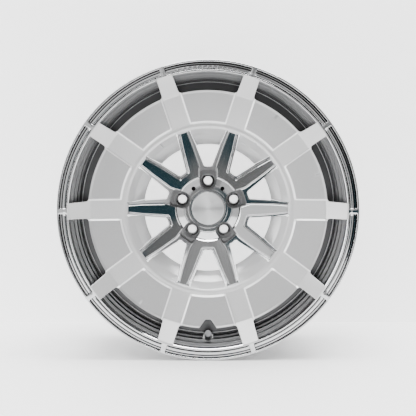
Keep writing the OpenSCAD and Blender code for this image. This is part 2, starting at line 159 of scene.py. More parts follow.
def shifted(points, distance):
    """The polyline moved to its right. An end that meets its seam squarely stays on it."""
    p = np.array(points, float)
    step = np.diff(p, axis=0)
    step /= np.linalg.norm(step, axis=1)[:, None]
    right = np.stack([step[:, 1], -step[:, 0]], 1)
    mean = np.vstack([right[:1], right[:-1] + right[1:], right[-1:]])
    mean /= np.linalg.norm(mean, axis=1)[:, None]
    scale = np.ones(len(p))
    scale[1:-1] = 1 / np.maximum(0.5, np.sum(mean[1:-1] * right[1:], 1))
    return [tuple(q) for q in p + mean * (distance * scale)[:, None]]


def distance_to(points, chain):
    """Unsigned distance from each point to a polyline."""
    p = np.asarray(points, float)
    a, b = np.array(chain[:-1], float), np.array(chain[1:], float)
    best = np.full(len(p), 1e9)
    for start, end in zip(a, b):
        d = end - start
        t = np.clip(((p - start) @ d) / max(float(d @ d), 1e-12), 0, 1)
        best = np.minimum(best, np.hypot(*(p - start - t[:, None] * d).T))
    return best


def inside_polygon(points, polygon):
    p = np.asarray(points, float)
    x, y = p[:, 0], p[:, 1]
    hit = np.zeros(len(p), bool)
    for (x0, y0), (x1, y1) in zip(polygon, polygon[1:] + polygon[:1]):
        if y0 == y1:
            continue
        crosses = (y0 > y) != (y1 > y)
        hit ^= crosses & (x < (x1 - x0) * (y - y0) / (y1 - y0) + x0)
    return hit


def soft_step(x, k):
    """max(0, x) with a parabola of half width k in place of its corner."""
    return np.where(x > k, x, np.where(x < -k, 0.0, (x + k) ** 2 / (4 * k)))


def ramp(x, width, k):
    """From 0 to 1 over the width, with both corners rounded."""
    return (soft_step(x, k) - soft_step(x - width, k)) / width


def profile(points, k=0.4):
    """A rounded piecewise line through the points, as a function of r."""
    slopes = [(b[1] - a[1]) / (b[0] - a[0]) for a, b in zip(points, points[1:])]

    def height(r):
        z = points[0][1] + slopes[0] * (r - points[0][0])
        for i in range(1, len(slopes)):
            z = z + (slopes[i] - slopes[i - 1]) * soft_step(r - points[i][0], k)
        return z

    return height


def edge_drop(distance, radius):
    """How far a rounded edge of that radius falls, at a distance in from the edge."""
    inner = np.clip(radius - distance, 0, radius)
    return radius - np.sqrt(np.maximum(radius**2 - inner**2, 0))


def edge_rings(chain, radius):
    """The lines that a rounded edge needs, just inside its chain."""
    turns = (22.5, 45.0, 67.5, 90.0)
    return [shifted(chain, radius * (1 - math.cos(math.radians(t)))) for t in turns]


# ---------------------------------------------------------------- meshes


def side_walls(xy, tri, seams):
    """Faces from each outer edge down to its copy below, except along the seams."""
    n = len(xy)
    angle = np.degrees(np.arctan2(xy[:, 1], xy[:, 0]))
    seam = [np.abs(angle - s) < 1e-3 for s in seams]
    edges = dict.fromkeys((t[i], t[(i + 1) % 3]) for t in tri for i in range(3))
    outer = [e for e in edges if e[::-1] not in edges]
    return [(b, a, a + n, b + n) for a, b in outer if not any(s[a] and s[b] for s in seam)]


def cell_mesh(outline, holes, lines, top, bottom, seams):
    """One repeating cell: a plane region meshed along its lines, raised to its top, closed by a bottom."""
    coords, edges = [], []

    def add(points, closed=False):
        first = len(coords)
        coords.extend(Vector(p) for p in points)
        edges.extend((first + i, first + i + 1) for i in range(len(points) - 1))
        if closed:
            edges.append((len(coords) - 1, first))

    add(outline, True)
    for hole in holes:
        add(hole, True)
    for line in lines:
        add(line)
    verts, _, faces, *_ = delaunay_2d_cdt(coords, edges, [], 0, 1e-5)
    xy = np.array([(v.x, v.y) for v in verts])
    tri = np.array(faces)
    centre = xy[tri].mean(1)
    keep = inside_polygon(centre, outline)
    for hole in holes:
        keep &= ~inside_polygon(centre, hole)
    tri = tri[keep]
    used, flat = np.unique(tri, return_inverse=True)
    xy, tri = xy[used], flat.reshape(tri.shape)
    span = xy[tri[:, 1]] - xy[tri[:, 0]], xy[tri[:, 2]] - xy[tri[:, 0]]
    flip = span[0][:, 0] * span[1][:, 1] - span[0][:, 1] * span[1][:, 0] < 0
    tri[flip] = tri[flip][:, ::-1]
    points = np.column_stack([xy, top(xy)])
    out = [tuple(t) for t in tri]
    if bottom is None:
        return points, out
    points = np.vstack([points, np.column_stack([xy, bottom(xy)])])
    out += [tuple(t[::-1] + len(xy)) for t in tri]
    return points, out + side_walls(xy, tri, seams)


def placed(mesh, degrees, mirrored=False):
    """A copy of a cell, turned about the axis."""
    points, faces = mesh
    p = points.copy()
    if mirrored:
        p[:, 1] *= -1
        faces = [f[::-1] for f in faces]
    c, s = cos_sin(degrees)
    p[:, 0], p[:, 1] = c * p[:, 0] - s * p[:, 1], s * p[:, 0] + c * p[:, 1]
    return p, faces


def joined(meshes):
    points, faces, first = [], [], 0
    for p, f in meshes:
        points.append(p)
        faces += [tuple(int(i) + first for i in face) for face in f]
        first += len(p)
    return np.vstack(points), faces


def lathe(outline, segments=SEGMENTS, closed=True):
    """A body of revolution from (r, z) points that run anticlockwise around the section."""
    n = len(outline)
    turns = [2 * math.pi * k / segments for k in range(segments)]
    points = np.array([(r * math.cos(a), r * math.sin(a), z) for a in turns for r, z in outline])
    faces = []
    for k in range(segments):
        here, there = k * n, (k + 1) % segments * n
        for i in range(n if closed else n - 1):
            j = (i + 1) % n
            faces.append((here + i, there + i, there + j, here + j))
    return points, faces


def to_row(points):
    """From the axis's own frame in millimetres to the row's frame in metres."""
    p = np.asarray(points) * MM
    return np.column_stack([p[:, 0], -p[:, 2], p[:, 1]])


def linked(name, data):
    obj = bpy.data.objects.new(name, data)
    bpy.context.scene.collection.objects.link(obj)
    return obj


def welded(name, mesh, merge=0.004):
    """Mesh data in the row's frame from points in the axis's frame, with its normals outwards."""
    points, faces = mesh
    data = bpy.data.meshes.new(name)
    data.from_pydata(to_row(points).tolist(), [], faces)
    bm = bmesh.new()
    bm.from_mesh(data)
    bmesh.ops.remove_doubles(bm, verts=bm.verts, dist=merge * MM)
    bmesh.ops.dissolve_degenerate(bm, edges=bm.edges, dist=merge * MM / 4)
    bmesh.ops.recalc_face_normals(bm, faces=bm.faces)
    bm.to_mesh(data)
    bm.free()
    return data


def piece(name, mesh, material, body, sharp=32.0):
    """A mesh object from points in the axis's frame, welded, smooth-shaded and riding on a body."""
    data = welded(name, mesh)
    data.shade_smooth()
    data.set_sharp_from_angle(angle=math.radians(sharp))
    data.materials.append(material)
    obj = linked(name, data)
    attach(obj, body)
    return obj


def weighted(obj):
    modifier = obj.modifiers.new("normals", "WEIGHTED_NORMAL")
    modifier.keep_sharp = True
    modifier.weight = 80
    return obj


# ---------------------------------------------------------------- materials


def new_material(name):
    material = bpy.data.materials.new(name)
    material.use_nodes = True
    tree = material.node_tree
    return material, tree, tree.nodes["Principled BSDF"]


def painted(tree, shader, color, rough):
    tree.links.new(color, shader.inputs["Base Color"])
    tree.links.new(rough, shader.inputs["Roughness"])


def put(shader, **values):
    """Sets sockets by name, with an underscore for each space."""
    for key, value in values.items():
        shader.inputs[key.replace("_", " ")].default_value = value


def mapped_noise(tree, vector, scale, detail=3.0, fine=0.5):
    noise = tree.nodes.new("ShaderNodeTexNoise")
    put(noise, Scale=scale, Detail=detail, Roughness=fine)
    tree.links.new(vector, noise.inputs["Vector"])
    return noise.outputs["Fac"]


def ranged(tree, value, low, high):
    n = tree.nodes.new("ShaderNodeMapRange")
    put(n, To_Min=low, To_Max=high)
    tree.links.new(value, n.inputs["Value"])
    return n.outputs["Result"]


def tinted(tree, value, dark, light):
    n = tree.nodes.new("ShaderNodeValToRGB")
    n.color_ramp.elements[0].position = 0.3
    n.color_ramp.elements[1].position = 0.7
    n.color_ramp.elements[0].color = (*dark, 1)
    n.color_ramp.elements[1].color = (*light, 1)
    tree.links.new(value, n.inputs["Fac"])
    return n.outputs["Color"]


def bumped(tree, shader, height, distance, strength=1.0):
    n = tree.nodes.new("ShaderNodeBump")
    put(n, Distance=distance, Strength=strength)
    tree.links.new(height, n.inputs["Height"])
    tree.links.new(n.outputs["Normal"], shader.inputs["Normal"])


def own_place(tree):
    return tree.nodes.new("ShaderNodeTexCoord").outputs["Object"]


def math_node(tree, operation, first, second=None):
    n = tree.nodes.new("ShaderNodeMath")
    n.operation = operation
    for socket, value in zip(n.inputs, (first, second)):
        if value is None:
            continue
        if isinstance(value, (int, float)):
            socket.default_value = value
        else:
            tree.links.new(value, socket)
    return n.outputs["Value"]


def times(tree, first, second):
    return math_node(tree, "MULTIPLY", first, second)


def square(tree, value):
    return times(tree, value, value)


def within(tree, value, low, high):
    """One between two limits, and zero outside them."""
    above = math_node(tree, "GREATER_THAN", value, low)
    return times(tree, above, math_node(tree, "LESS_THAN", value, high))


def blended(tree, first, second, factor):
    rest = math_node(tree, "SUBTRACT", 1.0, factor)
    return math_node(tree, "ADD", times(tree, first, rest), times(tree, second, factor))


def mixed_color(tree, first, second, factor):
    mix = tree.nodes.new("ShaderNodeMix")
    mix.data_type = "RGBA"
    tree.links.new(factor, mix.inputs["Factor"])
    for key, value in (("A", first), ("B", second)):
        socket = next(i for i in mix.inputs if i.name == key and i.type == "RGBA")
        if isinstance(value, tuple):
            socket.default_value = value
        else:
            tree.links.new(value, socket)
    return next(o for o in mix.outputs if o.type == "RGBA")


def around_axis(tree):
    """The wheel axis's radius, angle and depth at each point."""
    split = tree.nodes.new("ShaderNodeSeparateXYZ")
    tree.links.new(own_place(tree), split.inputs["Vector"])
    radius = math_node(tree, "SQRT", math_node(
        tree, "ADD", square(tree, split.outputs["X"]), square(tree, split.outputs["Z"])))
    return radius, math_node(tree, "ARCTAN2", split.outputs["Z"], split.outputs["X"]), split.outputs["Y"]


def sector(tree, count, start=0.0):
    """The plane folded into equal sectors: distance along a sector's middle, across it, and its number."""
    radius, angle, _ = around_axis(tree)
    wedge = times(tree, math_node(tree, "SUBTRACT", angle, start), count / (2 * math.pi))
    number = math_node(tree, "ROUND", wedge)
    turn = times(tree, math_node(tree, "SUBTRACT", wedge, number), 2 * math.pi / count)
    along = times(tree, radius, math_node(tree, "COSINE", turn))
    across = times(tree, radius, math_node(tree, "SINE", turn))
    return along, across, number


LINE_STRETCH = 0.02


def tool_lines(tree, spoked):
    """Texture space that draws a noise as rings about the axis, or past the hub as lines along a spoke."""
    radius, _, depth = around_axis(tree)
    join = tree.nodes.new("ShaderNodeCombineXYZ")
    if not spoked:
        tree.links.new(radius, join.inputs["X"])
        tree.links.new(depth, join.inputs["Y"])
        return join.outputs["Vector"]
    along, across, number = sector(tree, ARMS)
    stretched = times(tree, along, LINE_STRETCH)
    past = math_node(tree, "GREATER_THAN", radius, (BAND_R + 1.0) * MM)
    tree.links.new(blended(tree, radius, across, past), join.inputs["X"])
    tree.links.new(blended(tree, depth, stretched, past), join.inputs["Y"])
    tree.links.new(number, join.inputs["Z"])
    return join.outputs["Vector"]


def panel_masks(tree):
    """One on the raised panels inside their bevels, for their painted shade, and one on the panels with
    their bevels, for the bevels' painted highlight.
    """
    radius, _, _ = around_axis(tree)
    across = math_node(tree, "ABSOLUTE", sector(tree, ARMS)[1])

    def inside(side, inner):
        past_arm = math_node(tree, "GREATER_THAN", across, (ARM_ROOT_HALF + side) * MM)
        ring = within(tree, radius, (PANEL_IN_R + inner) * MM, (PANEL_R + 1) * MM)
        return times(tree, past_arm, ring)

    return inside(3.9, 4.2), inside(1.3, 1.0)


def lug_pocket_mask(tree):
    """Distance from the nearest lug hole's axis, and one inside the lug pocket and its U-shaped mouth."""
    outwards, across, _ = sector(tree, LUGS, math.pi / 2)
    along = math_node(tree, "SUBTRACT", outwards, LUG_R * MM)
    near = math_node(tree, "SQRT", math_node(tree, "ADD", square(tree, along), square(tree, across)))
    reach = (LUG_POCKET_R + 0.1) * MM
    mouth_end = (LUG_MOUTH_R + 0.1 - LUG_R) * MM
    mouth = times(tree, within(tree, across, -reach, reach), within(tree, along, 0.0, mouth_end))
    mouth = times(tree, mouth, math_node(tree, "LESS_THAN", near, LUG_MOUTH_REACH * MM))
    return near, math_node(tree, "MAXIMUM", mouth, math_node(tree, "LESS_THAN", near, reach))


def satin_paint():
    """Pale silver paint: fine metallic flake under a satin clear coat, with a faint orange peel, a painted
    highlight on the panels' bevels and painted shade on the raised panels.
    """
    material, tree, shader = new_material("disc_paint")
    place = own_place(tree)
    flake = mapped_noise(tree, place, 1800, 1.0)
    haze = mapped_noise(tree, place, 9, 3.0)
    panel, bevel_highlight = panel_masks(tree)
    # Painted highlight: the bevels round the panels get a pale 0.86 grey.
    color = mixed_color(tree, tinted(tree, flake, (0.50, 0.50, 0.505), (0.58, 0.58, 0.58)),
                        (0.86, 0.86, 0.86, 1), bevel_highlight)
    # Painted shade: the raised panels get a darker copy of the paint than the arms.
    color = mixed_color(tree, color, tinted(tree, flake, (0.34, 0.34, 0.343), (0.42, 0.42, 0.422)), panel)
    painted(tree, shader, color, ranged(tree, haze, 0.32, 0.38))
    put(shader, Metallic=0.35, Coat_Weight=0.8, Coat_Roughness=0.1)
    bumped(tree, shader, mapped_noise(tree, place, 300, 2.0), 0.000006, 0.5)
    return material


def brushed_metal(name, dark, light, rough, scale, spoked=False, anisotropy=0.0):
    """Aluminium with fine tool lines around the axis, or along the spokes."""
    material, tree, shader = new_material(name)
    lines = mapped_noise(tree, tool_lines(tree, spoked), scale, 3.0, 0.4)
    place = own_place(tree)
    smudge = mapped_noise(tree, place, 22, 4.0)
    mixed = math_node(tree, "ADD", times(tree, lines, 0.6), times(tree, smudge, 0.4))
    color, spread = tinted(tree, mixed, dark, light), ranged(tree, mixed, *rough)
    if spoked:
        near, inside = lug_pocket_mask(tree)
        rings = tinted(tree, mapped_noise(tree, near, 600, 2.0), (0.11, 0.11, 0.112), (0.24, 0.24, 0.242))
        color = mixed_color(tree, color, rings, inside)
        spread = blended(tree, spread, 0.28, inside)
    painted(tree, shader, color, spread)
    put(shader, Metallic=1.0)
    if anisotropy:
        put(shader, Anisotropic=anisotropy, Anisotropic_Rotation=0.25)
        tangent = tree.nodes.new("ShaderNodeTangent")
        tangent.direction_type = "RADIAL"
        tangent.axis = "Y"
        tree.links.new(tangent.outputs["Tangent"], shader.inputs["Tangent"])
    bumped(tree, shader, lines, 0.000001, 0.5)
    return material


def barrel_metal():
    """Bright turned lip with near black grooves, then satin on the stepped inner wall, darker partly by its
    own tone and partly as painted shade, and painted shade near black deeper in.
    """
    material, tree, shader = new_material("barrel_metal")
    radius, _, depth = around_axis(tree)
    lines = mapped_noise(tree, tool_lines(tree, False), 260, 3.0, 0.4)
    inner = times(tree, math_node(tree, "LESS_THAN", radius, (LIP_IN_R + 0.2) * MM),
                  math_node(tree, "LESS_THAN", depth, -(FLANGE_Z - 1.0) * MM))
    # Mask of the lip's grooves, which get a near black colour below.
    groove = times(tree, math_node(tree, "GREATER_THAN", radius, (LIP_IN_R + 2.0) * MM),
                   within(tree, depth, -(LIP_Z - 2.5) * MM, -(LIP_Z - 4.5) * MM))
    # The stepped inner wall is darker: partly its own satin tone, partly painted shade.
    stepped_wall_tone_and_shade = tinted(tree, lines, (0.19, 0.191, 0.194), (0.23, 0.232, 0.235))
    # Painted shade: the wall deeper in, inside the flange wall's radius, is painted near black.
    deep_painted_shade = math_node(tree, "LESS_THAN", radius, (FLANGE_WALL_R + 1.6) * MM)
    color = mixed_color(tree, tinted(tree, lines, (0.52, 0.525, 0.53), (0.61, 0.615, 0.62)),
                        mixed_color(tree, stepped_wall_tone_and_shade, (0.08, 0.08, 0.082, 1), deep_painted_shade), inner)
    color = mixed_color(tree, color, (0.07, 0.07, 0.072, 1), groove)
    front = math_node(tree, "LESS_THAN", depth, -(LIP_Z - 6.0) * MM)
    rough = blended(tree, ranged(tree, lines, 0.28, 0.38), ranged(tree, lines, 0.06, 0.1), front)
    painted(tree, shader, color, rough)
    put(shader, Metallic=1.0)
    bumped(tree, shader, lines, 0.000001, 0.5)
    return material


def plain_metal(name, dark, light, rough):
    """Small plated or turned hardware, with slight staining."""
    material, tree, shader = new_material(name)
    place = own_place(tree)
    mottle = mapped_noise(tree, place, 160, 5.0)
    painted(tree, shader, tinted(tree, mottle, dark, light), ranged(tree, mottle, *rough))
    put(shader, Metallic=1.0)
    bumped(tree, shader, mapped_noise(tree, place, 900, 2.0), 0.00002, 0.4)
    return material


def moulded(name, dark, light, rough):
    """Rubber, nylon or plastic with a fine moulded grain."""
    material, tree, shader = new_material(name)
    place = own_place(tree)
    grain = mapped_noise(tree, place, 1400, 3.0)
    painted(tree, shader, tinted(tree, grain, dark, light), ranged(tree, grain, *rough))
    bumped(tree, shader, grain, 0.00004, 0.6)
    return material


def studio_surface(name, color, rough, glow):
    """Matt studio paint that is clear from behind, so that the wheel's back can be seen."""
    material, tree, shader = new_material(name)
    put(shader, Emission_Color=(1, 1, 1, 1), Emission_Strength=glow, Roughness=rough)
    place = own_place(tree)
    haze = mapped_noise(tree, place, 1.2, 2.0)
    tree.links.new(tinted(tree, haze, tuple(c * 0.985 for c in color), color), shader.inputs["Base Color"])
    mix = tree.nodes.new("ShaderNodeMixShader")
    tree.links.new(tree.nodes.new("ShaderNodeNewGeometry").outputs["Backfacing"], mix.inputs["Fac"])
    tree.links.new(shader.outputs["BSDF"], mix.inputs[1])
    tree.links.new(tree.nodes.new("ShaderNodeBsdfTransparent").outputs["BSDF"], mix.inputs[2])
    tree.links.new(mix.outputs["Shader"], tree.nodes["Material Output"].inputs["Surface"])
    return material


def glowing(name, color, strength):
    material, tree, shader = new_material(name)
    put(shader, Base_Color=(0, 0, 0, 1), Roughness=1.0)
    put(shader, Emission_Color=(*color, 1), Emission_Strength=strength)
    return material


PAINT = satin_paint()
SPOKE_METAL = brushed_metal("spoke_metal", (0.60, 0.605, 0.61), (0.68, 0.685, 0.69), (0.05, 0.085), 260,
                            spoked=True)
LIP_METAL = barrel_metal()
CAP_METAL = brushed_metal("cap_metal", (0.56, 0.565, 0.57), (0.70, 0.705, 0.71), (0.26, 0.32), 900,
                          anisotropy=0.95)
SEAT_METAL = brushed_metal("seat_metal", (0.12, 0.12, 0.123), (0.2, 0.2, 0.203), (0.2, 0.3), 900)
BLACK_OXIDE = plain_metal("black_oxide", (0.01, 0.01, 0.01), (0.025, 0.025, 0.025), (0.4, 0.55))
STEEL = plain_metal("hardware_steel", (0.42, 0.42, 0.43), (0.6, 0.6, 0.61), (0.25, 0.4))
DARK_STEEL = plain_metal("dark_steel", (0.16, 0.16, 0.165), (0.26, 0.26, 0.27), (0.3, 0.42))
NICKEL = plain_metal("satin_nickel", (0.5, 0.5, 0.49), (0.66, 0.66, 0.65), (0.22, 0.34))
BRASS = plain_metal("brass", (0.5, 0.36, 0.15), (0.7, 0.54, 0.28), (0.22, 0.38))
RUBBER = moulded("rubber", (0.012, 0.012, 0.012), (0.03, 0.03, 0.03), (0.6, 0.75))
PLASTIC = moulded("cap_plastic", (0.05, 0.05, 0.05), (0.09, 0.09, 0.09), (0.4, 0.55))


# ---------------------------------------------------------------- aero disc

HALF_ARM = 180.0 / ARMS


def arm_half(x):
    return np.interp(x, (PANEL_R, TIP_R), (ARM_ROOT_HALF, ARM_TIP_HALF))


def disc_inner_chain():
    """Half a spoke slot with its corner relief, then the disc's inner edge, material on the right."""
    relief_r = 2.0
    slot_out = SPOKE_HALF + SLOT_GAP
    relief = (SLOT_END - 0.5, slot_out - 1.0)
    start = -math.degrees(math.acos(0.5 / relief_r))
    knob = arc(relief_r, start, 145.0, 10, relief)
    corner_y = slot_out + 3.0
    corner_x = math.sqrt(DISC_IN_R**2 - corner_y**2)
    corner_angle = math.degrees(math.atan2(corner_y, corner_x))
    rim = arc(DISC_IN_R, corner_angle, HALF_ARM, 12)
    points = [(SLOT_END, 0.0), *knob, *rim]
    return dense(fillet(points, {1: 0.5, len(knob): 1.5, len(knob) + 1: 1.4}), 2.5)


def disc_outer_chain(notched):
    """The panel's outer edge, the window's corner, then half an arm and its tip."""
    corner = math.degrees(math.asin(ARM_ROOT_HALF / PANEL_R))
    start = HALF_ARM
    lead = []
    if notched:
        notch_r, notch_at = 9.0, PANEL_R - 7.5
        flank = PANEL_R - notch_at + notch_r * (math.sqrt(2) - 1) + 1.2
        turns = (cos_sin(t) for t in (0, 9, 18, 27, 36, 45))
        lead = [(notch_at - notch_r * c, notch_r * s) for c, s in turns]
        reach = (lead[-1][0] + flank - 3.2, lead[-1][1] + flank - 3.2)
        lead.append(reach)
        c, s = cos_sin(HALF_ARM)
        lead = [(u * c + v * s, u * s - v * c) for u, v in lead]
        start = math.degrees(math.atan2(lead[-1][1], lead[-1][0]))
        lead[-1] = on_circle(PANEL_R, start)
    edge = arc(PANEL_R, start, corner, 22 if notched else 28)
    tail = [(TIP_R, ARM_TIP_HALF), (TIP_R, 0.0)]
    points = lead[:-1] + edge + tail
    at = len(lead[:-1])
    points = thin_corner(points, at + len(edge) - 1, 5.5)
    return dense(fillet(points, corner_radii(points)), 2.5)


def thin_corner(points, corner, clear):
    """Leaves out the points next to a corner, so that a fillet of that size fits there."""
    p = points[corner]
    return [q for i, q in enumerate(points) if i >= corner or math.dist(p, q) > clear * 1.25 or i == 0]


def corner_radii(points):
    radii = {}
    for i in range(1, len(points) - 1):
        a, p, b = (np.array(points[k]) for k in (i - 1, i, i + 1))
        u, v = p - a, b - p
        turn = abs(math.degrees(math.atan2(u[0] * v[1] - u[1] * v[0], float(u @ v))))
        if turn > 25:
            window = abs(math.dist((0, 0), p) - PANEL_R) < 0.01 and p[1] < ARM_ROOT_HALF + 0.2
            radii[i] = 5.5 if window else 1.8
    return radii


def panel_distance(xy):
    """How far a point lies inside a raised panel, past its rounded outline."""
    corner_r = 7.0
    x, y = xy[:, 0], xy[:, 1]
    a = y - arm_half(x) - 0.6
    b = (np.hypot(x, y) - PANEL_IN_R) * 0.8
    rounded = corner_r - np.hypot(np.maximum(corner_r - a, 0), np.maximum(corner_r - b, 0))
    return np.where((a < corner_r) & (b < corner_r), rounded, np.minimum(a, b))


def panel_contour(d):
    """A line at a constant distance inside the panel's outline."""
    corner_r = 7.0
    centre_y = ARM_ROOT_HALF + 0.6 + corner_r
    centre_r = PANEL_IN_R + corner_r / 0.8
    centre_x = math.sqrt(centre_r**2 - centre_y**2)
    y = ARM_ROOT_HALF + 0.6 + d
    points = [(PANEL_R + 3.0, y), (centre_x, y)] if d < corner_r else [(PANEL_R + 3.0, y)]
    if d < corner_r:
        turns = (cos_sin(t) for t in (15, 30, 45, 60, 75, 90))
        points += [(centre_x - (corner_r - d) / 0.8 * s, centre_y - (corner_r - d) * c) for c, s in turns]
    radius = PANEL_IN_R + d / 0.8
    first = math.degrees(math.atan2(points[-1][1], math.sqrt(max(radius**2 - points[-1][1] ** 2, 1))))
    points += arc(radius, first + 0.6, HALF_ARM + 0.5, 14)
    return dense(points, 5.0)


disc_line = profile([
    (DISC_IN_R, DISH_Z), (DISC_IN_R + 19, DISH_Z + 17.5), (CREST_R - 1.5, CREST_Z - 1.2),
    (CREST_R + 2.5, CREST_Z + 0.6), (PANEL_IN_R, CREST_Z + 0.6), (PANEL_R - 3.5, ARM_ROOT_Z),
    (TIP_R - 2.0, LIP_Z + 1.9), (TIP_R + 5, LIP_Z + 2.1),
], 1.0)
disc_under = profile([
    (DISC_IN_R, DISH_Z - DISC_T), (DISC_IN_R + 21, DISH_Z + 17.5 - DISC_T), (CREST_R + 1, CREST_Z - DISC_T),
    (PANEL_IN_R, CREST_Z - DISC_T), (PANEL_R - 1, ARM_ROOT_Z - DISC_T), (LIP_IN_R - 1.2, LIP_Z + 0.05),
    (TIP_R + 5, LIP_Z + 0.05),
], 0.3)


EDGE_R = 1.1
BEVEL_W = 3.6
# Mesh lines: radii beside each corner of the two profiles, and distances across the panel's bevel.
DISC_ROWS = (
    121, 125, 129, 133, 135.8, 136.4, 137, 137.6, 138.2, 141, 144.5, 147.5, 148, 148.5, 149, 149.5, 151.5,
    152, 152.5, 153, 153.5, 155.5, 156.5, 157, 157.6, 158.4, 159, 172, 180, 188, 196, 204, 209, 213, 214,
    215, 216, 217, 217.8, 222, 228, 234, 240, 246, 250, 251.4, 252.2, 252.9, 253.6,
)
BEVEL_ROWS = (-0.8, -0.4, 0.0, 0.4, 0.8, 1.8, *(BEVEL_W + d for d in (-0.8, -0.4, 0.0, 0.4, 0.8, 4.0)))


def disc_half(notched):
    """From the middle of an arm to the middle of a panel."""
    inner, outer = disc_inner_chain(), disc_outer_chain(notched)
    lines = edge_rings(inner, EDGE_R) + edge_rings(outer, EDGE_R)
    lines += [arc(r, 0.0, HALF_ARM, 20) for r in DISC_ROWS]
    lines += [panel_contour(d) for d in BEVEL_ROWS]

    def top(xy):
        edge = np.minimum(distance_to(xy, inner), distance_to(xy, outer))
        raised = PANEL_RISE * ramp(panel_distance(xy), BEVEL_W, 0.4)
        return disc_line(np.hypot(xy[:, 0], xy[:, 1])) + raised - edge_drop(edge, EDGE_R)

    def bottom(xy):
        return disc_under(np.hypot(xy[:, 0], xy[:, 1]))

    return cell_mesh(inner + outer, [], lines, top, bottom, (0.0, HALF_ARM))


def aero_disc():
    plain, notch = disc_half(False), disc_half(True)
    step = 360 / ARMS
    parts = []
    for k in range(ARMS):
        left = notch if k == 7 else plain
        right = notch if k == 8 else plain
        parts += [placed(left, k * step), placed(right, k * step, True)]
    obj = piece("aero_disc_shell", joined(parts), PAINT, "wheel", 38.0)
    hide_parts("aero_disc")
    return weighted(obj)


def disc_bosses():
    """Moulded bosses under the arms that take the disc's screws."""
    outline = fillet([(3.5, 52.0), (7.0, 50.0), (7.0, 57.5), (3.5, 57.5)], {1: 0.5})
    one = lathe(outline, 40)
    parts = []
    for k in range(ARMS):
        p, f = one
        moved = p + np.array((SCREW_R, 0, 0))
        parts.append(placed((moved, f), k * 360 / ARMS))
    obj = piece("disc_bosses", joined(parts), PAINT, "wheel")
    return obj


# ---------------------------------------------------------------- forged centre

SPOKE_TURN = 18.0
VEE_TURN = 36.0


def spoke_point(s, h):
    """From a distance along the spoke and an offset towards the V, to the cell's plane."""
    c, t = cos_sin(SPOKE_TURN)
    return (s * c - h * t, s * t + h * c)


# Where the spoke's width and its face's width change, and the face's half widths there on either side.
WIDTH_AT = (PAD_R + 6, DISC_IN_R + 1, SLOT_END)
FACE_AT = (PAD_R + 14, DISC_IN_R + 1, SLOT_END)
LUG_FACE_HALF = (7.4, 6.9, 5.2)
VEE_FACE_HALF = (10.4, 8.2, 5.2)


def window_chain():
    """The edge of both windows and the spoke's pad, from the lug's seam to the V's seam."""
    start = PAD_R + 8
    stations = (PAD_R + 16, DISC_IN_R + 1, SLOT_END, SPOKE_END)
    halves = [float(np.interp(s, WIDTH_AT, (17.6, 15.0, SPOKE_HALF))) for s in stations]
    lug_edge = [spoke_point(s, -half) for s, half in zip(stations, halves)]
    vee_edge = [spoke_point(s, half) for s, half in zip(stations, halves)][::-1]
    lug_corner = cut(lug_edge[0], lug_edge[1], start, 0.0)
    vee_corner = cut(vee_edge[-1], vee_edge[-2], start, VEE_TURN)
    points = [(start, 0.0), lug_corner, *lug_edge, *vee_edge, vee_corner, on_circle(start, VEE_TURN)]
    return dense(fillet(points, {1: 5.0, 5: 1.5, 6: 1.5, len(points) - 2: 5.0}, 8), 2.5)


def cut(a, b, distance, turn):
    """Where the line through a and b crosses the flat end of the window about the seam at that turn."""
    n = np.array(on_circle(1.0, turn))
    a, b = np.array(a), np.array(b)
    t = (distance - a @ n) / ((b - a) @ n)
    return tuple(a + t * (b - a))


def face_chain():
    """The polished face's edge: beside the lug pocket, along the spoke, and back to the V's seam."""
    end, inner, beside = SPOKE_END - 3, PAD_R + 1.2, LUG_POCKET_R + 1.7
    lug = [spoke_point(s, -float(np.interp(s, FACE_AT, LUG_FACE_HALF))) for s in (*FACE_AT, end)]
    back = (end, *FACE_AT[:0:-1], PAD_R + 18)
    vee = [spoke_point(s, float(np.interp(s, FACE_AT, VEE_FACE_HALF))) for s in back]
    corner = cut(vee[-1], vee[-2], inner, VEE_TURN)
    points = [(BAND_R, beside), (PAD_R + 6.6, beside), *lug, *vee, corner, on_circle(inner, VEE_TURN)]
    return dense(fillet(points, {1: 16.0, 5: 1.0, 6: 1.0, len(points) - 2: 5.0}, 8), 2.5)


def pocket_chain():
    """Half of the U that opens each lug pocket outwards, from the pocket's circle to the lug's seam."""
    points = [(LUG_R, LUG_POCKET_R), (LUG_MOUTH_R, LUG_POCKET_R), (LUG_MOUTH_R, 0.0)]
    return dense(fillet(points, {1: 5.5}, 8), 2.5)


hub_line = profile([
    (26.0, 34.5), (31.0, 34.5), (31.4, HUB_H), (36.0, HUB_H),
    (36.7, HUB_H - 0.9), (BOSS_R - 0.5, HUB_H - 0.9),
    (BOSS_R - 0.1, HUB_H - 3.4), (BOSS_R + 0.8, HUB_H - 3.4), (BOSS_R + 1.2, HUB_H - 1.6),
    (BAND_R - 2.0, HUB_H - 3.0), (BAND_R - 0.4, HUB_H + 1.0), (BAND_R + 1.2, HUB_H + 2.4),
    (SLOT_END, HUB_H + 8), (SCREW_R, HUB_H + 10), (SPOKE_END + 5, HUB_H + 10),
], 0.03)
centre_under = profile([
    (26.0, 15.0), (28.05, 15.0), (28.15, 0.0), (PAD_R - 1, 0.0), (PAD_R, 1.0), (PAD_R + 12, 12.0),
    (SLOT_END, 17.0), (FLANGE_R - 0.7, 27.0), (FLANGE_R - 0.5, FLANGE_Z), (SPOKE_END + 5, FLANGE_Z),
], 0.05)

# Groove and step along the face's edge: distance out from the edge, and drop below the face.
LUG_SIDE = [(0.0, 0.0), (0.6, 0.3), (0.85, 2.2), (1.7, 2.2), (2.0, 0.6), (3.0, 0.8)]
VEE_SIDE = [(0.0, 0.0), (0.6, 0.3), (0.85, 2.0), (1.6, 2.0), (1.9, 0.6), (3.4, 1.8)]
# Where each side then falls to the ledge, and the heights of that ledge and of the one along the window.
LUG_FALL = (3.05, 3.5)
VEE_FALL = (3.45, 3.9)
WINDOW_FALL = (1.9, 2.3)
LEDGE_Z = 39.0
LOW_LEDGE_Z = 34.0
WINDOW_FOOT_Z = 22.0
TAP_FLOOR_Z = HUB_H - 14

